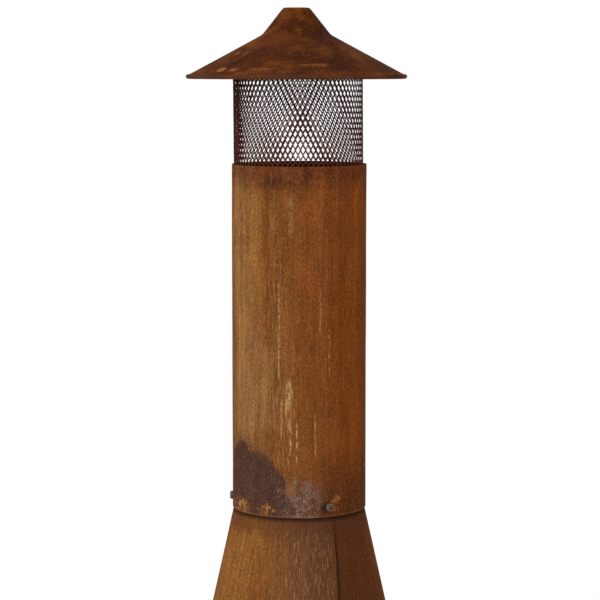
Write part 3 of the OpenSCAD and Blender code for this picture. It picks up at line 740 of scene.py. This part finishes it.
def cap_material():
    g = Graph("rusty_cap")
    patchy = g.noise(20, (1, 1, 1.7), detail=8, rough=0.62, offset=(1, 2, 3))
    colour = g.tones(
        patchy, (0.32, (46, 20, 9)), (0.44, (70, 30, 11)), (0.54, (84, 38, 12)), (0.68, (122, 65, 20)))
    blotch = g.step(g.noise(44, (1, 1, 2.2), detail=7, rough=0.66, offset=(5, 5, 5)), 0.54, 0.68)
    colour = g.tint(colour, (126, 68, 20), blotch, 0.5)
    colour, height, mottle = rust_grain(g, colour, streak=0.2, speck=0.3)

    # Orange flakes that gather just above the rolled rim
    radius = g.radius()
    low = g.window(radius, RIM_R - 0.012, 0.009, 0.01)
    flakes = g.step(g.ring_noise(34, 520, detail=5, rough=0.7), 0.55, 0.66)
    groups = g.step(g.ring_noise(5, 20, offset=3.0), 0.46, 0.6)
    flakes = g.times(flakes, low, groups)
    colour = g.tint(colour, (160, 94, 42), flakes, 0.6)
    red = g.times(g.window(radius, RIM_R - 0.006, 0.003, 0.004), g.step(g.ring_noise(60, 900), 0.5, 0.6))
    colour = g.tint(colour, (150, 78, 40), red, 0.55)
    shoulder = g.patch(4, RIM_Z + 0.04, 34, 0.008, ragged=0.4, scale=50, soft=0.8)
    colour = g.tint(colour, (122, 66, 24), shoulder, 0.4)
    dull = g.patch(38, RIM_Z + 0.022, 34, 0.014, ragged=0.4, scale=40, soft=0.8)
    colour = g.tint(colour, (56, 24, 12), dull, 0.35)
    warm = g.step(g.ring_noise(9, 90, detail=6, offset=8.0), 0.54, 0.66)
    colour = g.tint(colour, (128, 70, 26), warm, 0.4)
    chips = g.step(g.ring_noise(80, 900, detail=4, offset=5.0), 0.44, 0.56)
    for azimuth, rise, half, half_z, strength in (
        (-19, 0.0075, 2.8, 0.0022, 0.9), (-9, 0.0075, 2.6, 0.0014, 0.75), (9, 0.0085, 8, 0.0012, 0.28),
        (40, 0.0125, 9, 0.0014, 0.4), (-28, 0.0255, 3, 0.0012, 0.5), (-17, 0.0245, 1.6, 0.003, 0.4),
    ):
        spot = g.patch(azimuth, RIM_Z + rise, half, half_z, ragged=0.3, scale=140, soft=0.6, broken=0.3)
        colour = g.tint(colour, (208, 136, 70), spot, chips, strength)

    # Greyer bead, and soot under the sheet
    colour = g.tint(colour, (94, 60, 42), g.step(radius, RIM_R - 0.001, RIM_R + 0.001), 0.5)
    down = g.step(g.times(g.normal()[2], -1.0), 0.1, 0.5)
    under = g.times(down, g.invert(g.step(radius, RIM_R - 0.014, RIM_R - 0.002)))
    colour = g.soot(colour, g.times(under, 0.85))
    return g.finish(colour, (0.62, mottle, 0.35), height, 0.4)


def mesh_material(name, redden_below):
    g = Graph(name)
    tone = g.noise(70, detail=6, rough=0.65)
    colour = g.tones(tone, (0.3, (48, 22, 23)), (0.5, (70, 33, 31)), (0.7, (102, 52, 38)))
    low = g.invert(g.step(g.math("ADD", g.z, g.times(tone, 0.02)), redden_below, redden_below + 0.05))
    colour = g.tint(colour, (96, 50, 32), low, 0.6)
    fine = g.noise(900, detail=4, rough=0.7)
    colour = g.tint(colour, (124, 70, 42), g.step(fine, 0.56, 0.66), 0.6)
    return g.finish(colour, (0.6, tone, 0.4), fine, 0.5)


def plate_material(name, dark, middle, bright, scale=40.0, streak=0.2):
    """Rusted plate in three tones, used for bands, frames, feet and fittings."""
    g = Graph(name)
    tone = g.noise(scale, detail=8, rough=0.62, offset=(scale, 1, 2))
    colour = g.tones(tone, (0.3, dark), (0.5, middle), (0.72, bright))
    colour, height, mottle = rust_grain(g, colour, streak=streak, speck=0.4, offset=scale)
    return g.finish(colour, (0.66, mottle, 0.3), height, 0.45)


def soot_material(name, ash):
    g = Graph(name)
    tone = g.noise(45, detail=8, rough=0.65)
    colour = g.tones(tone, (0.3, (30, 26, 24)), (0.55, (48, 40, 36)), (0.75, (84, 54, 38)))
    dust = g.step(g.noise(90, detail=6, rough=0.7, offset=(4, 4, 4)), 0.48, 0.64)
    colour = g.tint(colour, (138, 130, 122), dust, ash)
    fine = g.noise(700, detail=4, rough=0.7)
    return g.finish(colour, (0.7, tone, 0.28), fine, 0.5)


def fastener_material():
    g = Graph("weathered_fastener")
    tone = g.noise(220, detail=6, rough=0.6)
    colour = g.tones(tone, (0.35, (98, 84, 72)), (0.5, (128, 112, 96)), (0.6, (104, 60, 34)))
    fine = g.noise(1500, detail=3, rough=0.6)
    colour = g.tint(colour, (66, 40, 28), g.step(fine, 0.58, 0.66), 0.6)
    return g.finish(colour, (0.4, tone, 0.5), fine, 0.3, 0.2 * MM, metallic=0.35)


def coil_material():
    g = Graph("coil_steel")
    tone = g.noise(160, detail=6, rough=0.6)
    colour = g.tones(tone, (0.35, (92, 82, 74)), (0.52, (124, 112, 100)), (0.66, (110, 64, 38)))
    fine = g.noise(1200, detail=3, rough=0.6)
    colour = g.tint(colour, (58, 36, 26), g.step(fine, 0.58, 0.68), 0.5)
    return g.finish(colour, (0.35, tone, 0.5), fine, 0.3, 0.2 * MM, metallic=0.4)


# ---- Placing pieces ----

def place_piece(obj, body, slot, material, *stands_for):
    obj.data.materials.clear()
    obj.data.materials.append(material)
    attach(obj, body)
    if stands_for:
        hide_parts(*stands_for)


def paint_node(name, material, bevel):
    """A CAD node that stays: a better material, and softer edges."""
    obj = nodes[name]
    for slot in obj.material_slots:
        slot.material = material
    if bevel:
        m = obj.modifiers.new("soft_edges", "BEVEL")
        m.width = bevel
        m.segments = 2
        m.limit_method = "ANGLE"
        m.angle_limit = math.radians(40)
        m.use_clamp_overlap = True


# ---- Pieces ----

def build_flue(material):
    r = FLUE_R
    inner = r - SHEET
    edge = 0.4 * MM
    lap = 0.9 * MM
    lap_run = math.radians(9)
    calm_height = 50 * MM
    profile = [
        (r - edge, FLUE_LOW), (r, FLUE_LOW + edge), (r, FLUE_TOP - edge), (r - edge, FLUE_TOP),
        (inner + edge, FLUE_TOP), (inner, FLUE_TOP - edge),
        (inner, FLUE_LOW + edge), (inner + edge, FLUE_LOW),
    ]
    waves = dent(0.35 * MM, 0.11, 1.0)
    ripples = dent(0.12 * MM, 0.03, 4.0)

    def shift(_, a, z):
        """Waves, calmer near the lower edge, and the lap that ends in a step at the seam."""
        fade = min(1.0, (z - FLUE_LOW) / calm_height)
        before = (FLUE_SEAM - a) % (2 * math.pi)
        lift = lap * max(0.0, 1 - before / lap_run) ** 0.6
        return (waves(FLUE_R, a, z) + ripples(FLUE_R, a, z)) * max(0.3, fade) + lift

    edges = (FLUE_SEAM - 0.001, FLUE_SEAM + 0.004)
    obj = revolve("flue_pipe_sheet", fine_profile(profile, 9 * MM), segments=192, shift=shift, extra=edges)
    place_piece(obj, "stove", "rusty_flue", material, "flue_pipe")


def mouth_half_outline(deg, grow):
    """Right half of the mouth's front outline, as (x, z) points from the bottom up.

    deg and grow widen it, by degrees at the sides and by a length at the top and bottom.
    """
    low_r = MOUTH_CORNERS[0] + grow / 2
    top_r = MOUTH_CORNERS[1] + grow / 2
    s = math.sin(MOUTH_HALF + math.radians(deg))
    tilt = math.degrees(math.atan(CONE_SLOPE * s))
    low_z = MOUTH_Z[0] - grow + low_r
    top_z = MOUTH_Z[1] + grow - top_r
    c = math.cos(math.radians(tilt))
    return (
        arc((cone_r(low_z) * s - low_r / c, low_z), low_r, -90, tilt, 10)
        + arc((cone_r(top_z) * s - top_r / c, top_z), top_r, tilt, 90, 14)
    )


def mouth_prism():
    """The mouth's outline drawn out from inside the cone to well in front of it."""
    half = mouth_half_outline(0.0, 0.0)
    outline = half + [(-x, z) for x, z in reversed(half)]
    n = len(outline)
    verts = [(x, y, z) for y in (-50 * MM, -300 * MM) for x, z in outline]
    faces = [(i, (i + 1) % n, n + (i + 1) % n, n + i) for i in range(n)]
    faces += [tuple(range(n)), tuple(range(n, 2 * n))]
    return from_lists("mouth_cutter", verts, faces)


def seam_azimuth(z):
    """The lap seam's straight edge is a little askew on the cone, so it swings round near the top."""
    return SEAM_BASE + SEAM_SKEW / cone_r(z)


def build_cone(material):
    """The cone's sheet, with its lap: the outer lap ends in a step at the seam."""
    segments = 240
    levels = 92
    lap = 2.1 * MM
    lap_run = math.radians(7)
    inset = 0.15 * MM
    plain_low = 60 * MM
    plain_top = 12 * MM
    calm_half = math.radians(50)
    waves = dent(0.5 * MM, 0.15, 2.0)
    verts = []
    faces = []
    ring = segments + 1
    for side in (0.0, -CONE_SHEET / math.cos(LEAN)):
        for j in range(levels + 1):
            z = SKIRT_Z + (CONE_TOP_Z - SKIRT_Z) * j / levels
            seam = seam_azimuth(z)
            fade = min(1.0, max(0.0, (FLUE_LOW - plain_top - z) / (30 * MM)))
            fade *= min(1.0, (z - SKIRT_Z) / plain_low)
            for i in range(ring):
                t = 2 * math.pi * i / segments
                a = seam + t
                lift = lap * max(0.0, 1 - (2 * math.pi - t) / lap_run) ** 0.6
                still = 0.25 if abs(math.atan2(math.sin(a), math.cos(a))) < calm_half else 1.0
                r = cone_r(z) + side + (lift + waves(cone_r(z), a, z) * still) * fade - inset
                verts.append((r * math.sin(a), -r * math.cos(a), z))
    layer = ring * (levels + 1)
    for j in range(levels):
        for i in range(segments):
            a = j * ring + i
            faces.append((a, a + 1, a + ring + 1, a + ring))
            b = layer + a
            faces.append((b, b + ring, b + ring + 1, b + 1))
    for i in range(segments):
        faces.append((i, layer + i, layer + i + 1, i + 1))
        t = levels * ring + i
        faces.append((t, t + 1, layer + t + 1, layer + t))
    for j in range(levels):
        for i in (0, segments):
            a = j * ring + i
            faces.append((a, a + ring, layer + a + ring, layer + a))
    obj = from_lists("body_cone_sheet", verts, faces, 30)
    cut_out(obj, mouth_prism(), own_crossings=True)
    smooth(obj.data, 30)
    place_piece(obj, "stove", "rusty_cone", material, "body_cone")


def build_cap(material, nudge):
    """Spun sheet: a steep crown, a shallow skirt, and a rim rolled round a bead."""
    pitch = math.radians(28.3)
    across = Vector((math.sin(pitch), math.cos(pitch)))
    down = Vector((math.cos(pitch), -math.sin(pitch)))
    crown_r = 38 * MM
    top_r = 14.5 * MM
    skirt_off = BEAD_R - 1 * MM
    bead_turn = 318
    end = Vector((RIM_R, RIM_Z)) + across * skirt_off
    crown_z = end.y + (end.x - crown_r) * math.tan(pitch)

    # Outer line from the top down to the bead, round the bead, and back along the inside
    outer = [(0, CAP_TOP_Z - 0.3 * MM), (top_r - 2 * MM, CAP_TOP_Z - 0.2 * MM)]
    steep = Vector((crown_r - top_r, crown_z - CAP_TOP_Z)).normalized()
    blend = 3 * MM
    outer += bend_points(
        (top_r - 2 * MM, CAP_TOP_Z), (top_r, CAP_TOP_Z),
        (top_r + steep.x * blend, CAP_TOP_Z + steep.y * blend))
    outer += bend_points(
        (crown_r - steep.x * blend, crown_z - steep.y * blend), (crown_r, crown_z),
        (crown_r + down.x * blend, crown_z + down.y * blend), 6)
    start = 90 - math.degrees(pitch) + math.degrees(math.acos(skirt_off / BEAD_R))
    bead = arc((RIM_R, RIM_Z), BEAD_R, start, start - bead_turn, 28)
    inner = []
    for r, z in reversed(outer):
        k = across if r > crown_r else Vector((-steep.y, steep.x))
        if r < top_r:
            k = Vector((0, 1))
        inner.append((max(0.0, r - k.x * SHEET), z - k.y * SHEET))
    inner[-1] = (0, inner[-1][1])
    back = end - across * SHEET - down * 3.2 * MM
    profile = outer + bead + [tuple(back)] + inner
    waves = dent(0.9 * MM, 0.075, 7.0)

    def shift(r, a, z):
        return waves(r, a, z) * min(1.0, r / (60 * MM))

    obj = revolve(
        "rain_cap_sheet", fine_profile(profile, 4 * MM), segments=216, shift=shift, sharp_deg=40)
    obj.data.transform(Matrix.Translation(nudge))
    place_piece(obj, "cap", "rusty_cap", material, "rain_cap")


def bend_points(a, b, c, n=4):
    """Quadratic curve from a to c that leans towards b."""
    out = []
    for i in range(n + 1):
        t = i / n
        out.append(tuple((1 - t) ** 2 * a[k] + 2 * t * (1 - t) * b[k] + t * t * c[k] for k in (0, 1)))
    return out


def build_guard(material, lean):
    """One rolled sheet of expanded metal whose ends overlap at the left of the front, leaning aside."""
    cells_round = 78.5
    cell = (2 * math.pi * GUARD_R / cells_round, 12.1 * MM)
    turn = math.radians(391)
    start = math.radians(-60)
    columns = round(turn * GUARD_R / cell[0])
    rows = round((GUARD_Z[1] - GUARD_Z[0]) / cell[1])
    climb = 1.7 * MM
    sway = 0.35 * MM
    margin = 6 * MM
    squeeze = 0.985

    def place(u, v, depth):
        a = start + u / GUARD_R
        r = GUARD_R + climb * (u / GUARD_R) / turn + depth
        r += sway * math.sin(3 * a + 9 * v)
        z = GUARD_Z[0] + margin + v * squeeze
        aside = lean * (z - GUARD_Z[0]) / (GUARD_Z[1] - GUARD_Z[0])
        return Vector((r * math.sin(a), -r * math.cos(a), z)) + aside

    obj = expanded_metal("spark_guard_sheet", place, (0, 2 * columns + 1), (0, 2 * rows), cell)
    place_piece(obj, "cap", "rusty_mesh", material, "spark_guard")


def build_door_mesh(material):
    """Expanded metal bent to the cone behind the door frame."""
    cell = (8 * MM, 17 * MM)
    offset = 2.7 * MM
    base_z = MOUTH_Z[0]
    base_slant = cone_r(base_z) / math.sin(LEAN)
    i_range = (-44, 45)
    j_range = (-2, 44)
    half = mouth_half_outline(-1.2, -4 * MM)
    heights = [z for _, z in half]

    def to_cone(u, v, depth):
        slant = math.hypot(u, base_slant - v)
        a = math.atan2(u, base_slant - v) / math.sin(LEAN)
        r = slant * math.sin(LEAN) + (offset + depth) * math.cos(LEAN)
        z = base_z + (base_slant - slant) * math.cos(LEAN) + (offset + depth) * math.sin(LEAN)
        return (r * math.sin(a), -r * math.cos(a), z)

    def keep(u, v):
        x, y, z = to_cone(u, v, 0)
        if y > 0 or not heights[0] < z < heights[-1]:
            return False
        return abs(x) < np.interp(z, heights, [p[0] for p in half]) - 2 * MM

    obj = expanded_metal("door_mesh_sheet", to_cone, i_range, j_range, cell, sheet=1.1 * MM,
                         twist=0.5 * MM, keep=keep, seed=5)
    place_piece(obj, "door", "rusty_mesh", material, "door_mesh")


def build_coil(material):
    """Close-wound wire round the door handle's grip."""
    wire = 1.7 * MM
    turn_r = 9.5 * MM - wire
    half = 38 * MM - wire
    pitch = 4.4 * MM
    turns = 2 * half / pitch
    steps = int(turns * 20)
    grip_azimuth = 38
    grip_z = 365 * MM
    reach = 38 * MM
    local = on_cone(grip_azimuth, grip_z) @ Matrix.Translation((0, -reach, 0))
    path = []
    for i in range(steps + 1):
        a = 2 * math.pi * turns * i / steps
        rise = -half + 2 * half * i / steps
        path.append(local @ Vector((turn_r * math.cos(a), turn_r * math.sin(a), rise)))
    obj = tube("door_handle_wire", path, wire, 8)
    place_piece(obj, "door", "coil_steel", material, "door_handle_coil")


def build_pan(material):
    """Pressed floor pan with a rounded rim and drain holes."""
    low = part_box("floor_pan")[0].z
    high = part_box("floor_pan")[1].z
    t = 2 * MM
    r = 205 * MM
    rim = 212 * MM
    bend = 6 * MM
    flare = 2.2 * MM
    hole_ring = 205 * 0.55 * MM
    hole_r = 5 * MM
    profile = (
        [(0, low), (r - bend, low)]
        + bend_points((r - bend, low), (r, low), (r + flare, low + bend))
        + [(rim, high - 1 * MM), (rim - 0.4 * MM, high), (rim - t, high)]
        + bend_points((r + flare - t, low + 7.6 * MM), (r - t, low + t), (r - 7 * MM, low + t))
        + [(0, low + t)]
    )
    waves = dent(0.5 * MM, 0.09, 3.0)
    obj = revolve("floor_pan_sheet", fine_profile(profile, 12 * MM), segments=144, shift=waves)
    holes = [(0.0, 0.0)]
    for a in (math.radians(45), math.radians(135), math.radians(225), math.radians(315)):
        holes.append((hole_ring * math.sin(a), -hole_ring * math.cos(a)))
    bm = bmesh.new()
    for x, y in holes:
        bmesh.ops.create_cone(bm, cap_ends=True, segments=32, radius1=hole_r, radius2=hole_r,
                              depth=20 * MM, matrix=Matrix.Translation((x, y, low)))
    cut_out(obj, mesh_object("drain_cutter", bm))
    smooth(obj.data, 35)
    place_piece(obj, "stove", "sooty_steel", material, "floor_pan")


def paint_nodes(cone, band, fitting, mesh_steel, soot, iron, fastener, door):
    for name, material, bevel in (
        ("neck_collar", cone, 0.3), ("base_band", band, 0.7), ("mouth_trim", band, 0.6),
        ("pan_lugs", soot, 0.4), ("grate_bars", iron, 1.2), ("grate_cross_bars", iron, 1.0),
        ("grate_legs", iron, 0.8), ("foot_rear", band, 0.8), ("foot_left", band, 0.8),
        ("foot_right", band, 0.8), ("foot_bolts", fastener, 0), ("foot_nuts", fastener, 0.3),
        ("flue_screws", fastener, 0), ("flue_nuts", fastener, 0.3), ("flue_stops", soot, 0.3),
        ("hinge_bracket_upper", fitting, 0.4), ("hinge_bracket_lower", fitting, 0.4),
        ("hinge_pins", fastener, 0), ("latch_post", fitting, 0.3), ("latch_screw", fastener, 0),
        ("latch_button", fitting, 0.5), ("door_frame", door, 0.6), ("door_rivets", fastener, 0),
        ("door_knuckle_upper", fitting, 0.4), ("door_knuckle_lower", fitting, 0.4),
        ("door_handle", fitting, 0.3), ("cap_brackets", fitting, 0.3),
        ("guard_hoop_top", mesh_steel, 0.2), ("guard_hoop_bottom", mesh_steel, 0.2),
    ):
        paint_node(name, material, bevel * MM)


add_camera()
add_studio()

cone_rust = cone_material()
band_rust = plate_material("rusty_band", (66, 38, 24), (96, 56, 32), (138, 82, 42))
door_rust = plate_material("rusty_door", (52, 32, 24), (82, 48, 30), (124, 72, 38), 30.0)
fitting_rust = plate_material("rusty_fitting", (54, 34, 26), (82, 50, 34), (122, 72, 42), 90.0, 0.1)
guard_rust = mesh_material("rusty_mesh", FLUE_TOP + 0.01)
door_mesh_rust = mesh_material("rusty_door_mesh", MOUTH_Z[0] + 0.03)
sooty_steel = soot_material("sooty_steel", 0.55)
sooty_iron = soot_material("sooty_iron", 0.3)
fastener_steel = fastener_material()

# The loose cap sits a little off the flue's axis
aside = Vector((-math.cos(VIEW_AZIMUTH), -math.sin(VIEW_AZIMUTH), 0))
build_cap(cap_material(), aside * 3.0 * MM)
build_guard(guard_rust, aside * 1.6 * MM)
build_flue(flue_material())
build_cone(cone_rust)
build_door_mesh(door_mesh_rust)
build_coil(coil_material())
build_pan(sooty_steel)
paint_nodes(
    cone_rust, band_rust, fitting_rust, guard_rust, sooty_steel, sooty_iron, fastener_steel, door_rust)
